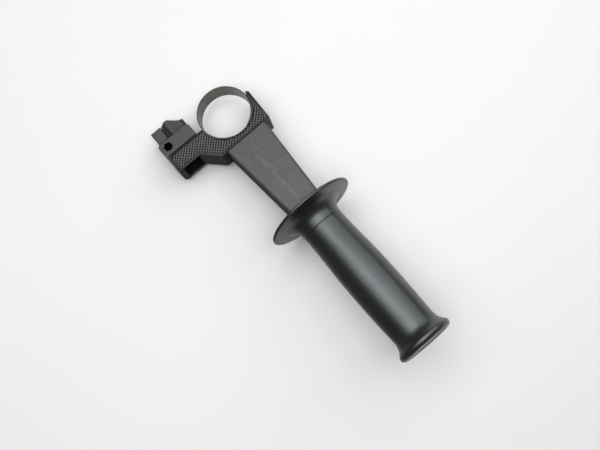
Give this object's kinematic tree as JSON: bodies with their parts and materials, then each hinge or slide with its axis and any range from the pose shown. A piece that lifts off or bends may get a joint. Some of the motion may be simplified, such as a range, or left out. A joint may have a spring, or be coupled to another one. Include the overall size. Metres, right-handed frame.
{
  "type": "power tool side handle",
  "caption": "Side handle with a steel collar strap, a textured saddle with a depth rod lock, a tapered arm, a round guard and a twist grip that tightens the strap.",
  "frame": {"origin": "centre of the collar bore, half way along the strap's width", "axes": "+Z along the collar bore, +X along the handle from the collar to the end of the grip, the depth rod lock on the -Y side"},
  "size_m": [0.2531, 0.0912, 0.071],
  "materials": {
    "body_plastic": "dark charcoal moulded plastic, matt",
    "button_plastic": "dark charcoal moulded plastic, fine ribs",
    "guard_plastic": "black moulded plastic, satin",
    "grip_sleeve": "black soft grip, satin with a broad soft sheen",
    "strap_steel": "rolled steel band, dull olive grey",
    "fastener_steel": "zinc plated steel"
  },
  "bodies": {
    "head": {"saddle": "body_plastic", "arm": "body_plastic", "lock_housing": "body_plastic", "housing_screws": "fastener_steel", "button_spring": "fastener_steel"},
    "button": {"release_button": "button_plastic", "catch_plate": "fastener_steel"},
    "clamp": {"strap": "strap_steel", "strap_yoke": "fastener_steel", "strap_rivets": "fastener_steel", "clamp_stud": "fastener_steel"},
    "grip": {"grip_core": "guard_plastic", "grip_sleeve": "grip_sleeve", "clamp_nut": "fastener_steel", "thrust_washer": "fastener_steel"}
  },
  "joints": [
    {"name": "grip_turn", "type": "hinge", "parent": "head", "child": "grip", "pos_m": [0.1004, 0, 0], "axis": [1, 0, 0], "range_deg": [-230, 630]},
    {"name": "clamp_slide", "type": "slide", "parent": "head", "child": "clamp", "axis": [1, 0, 0], "range_m": [-0.0022, 0.0008]},
    {"name": "button_press", "type": "slide", "parent": "head", "child": "button", "axis": [1, 0, 0], "range_m": [0, 0.001], "stiffness_N_per_m": 1500, "deforming": ["button_spring"]}
  ],
  "couplings": [
    {"joint": "clamp_slide", "follows": "grip_turn", "m_per_rad": -0.00019894}
  ]
}
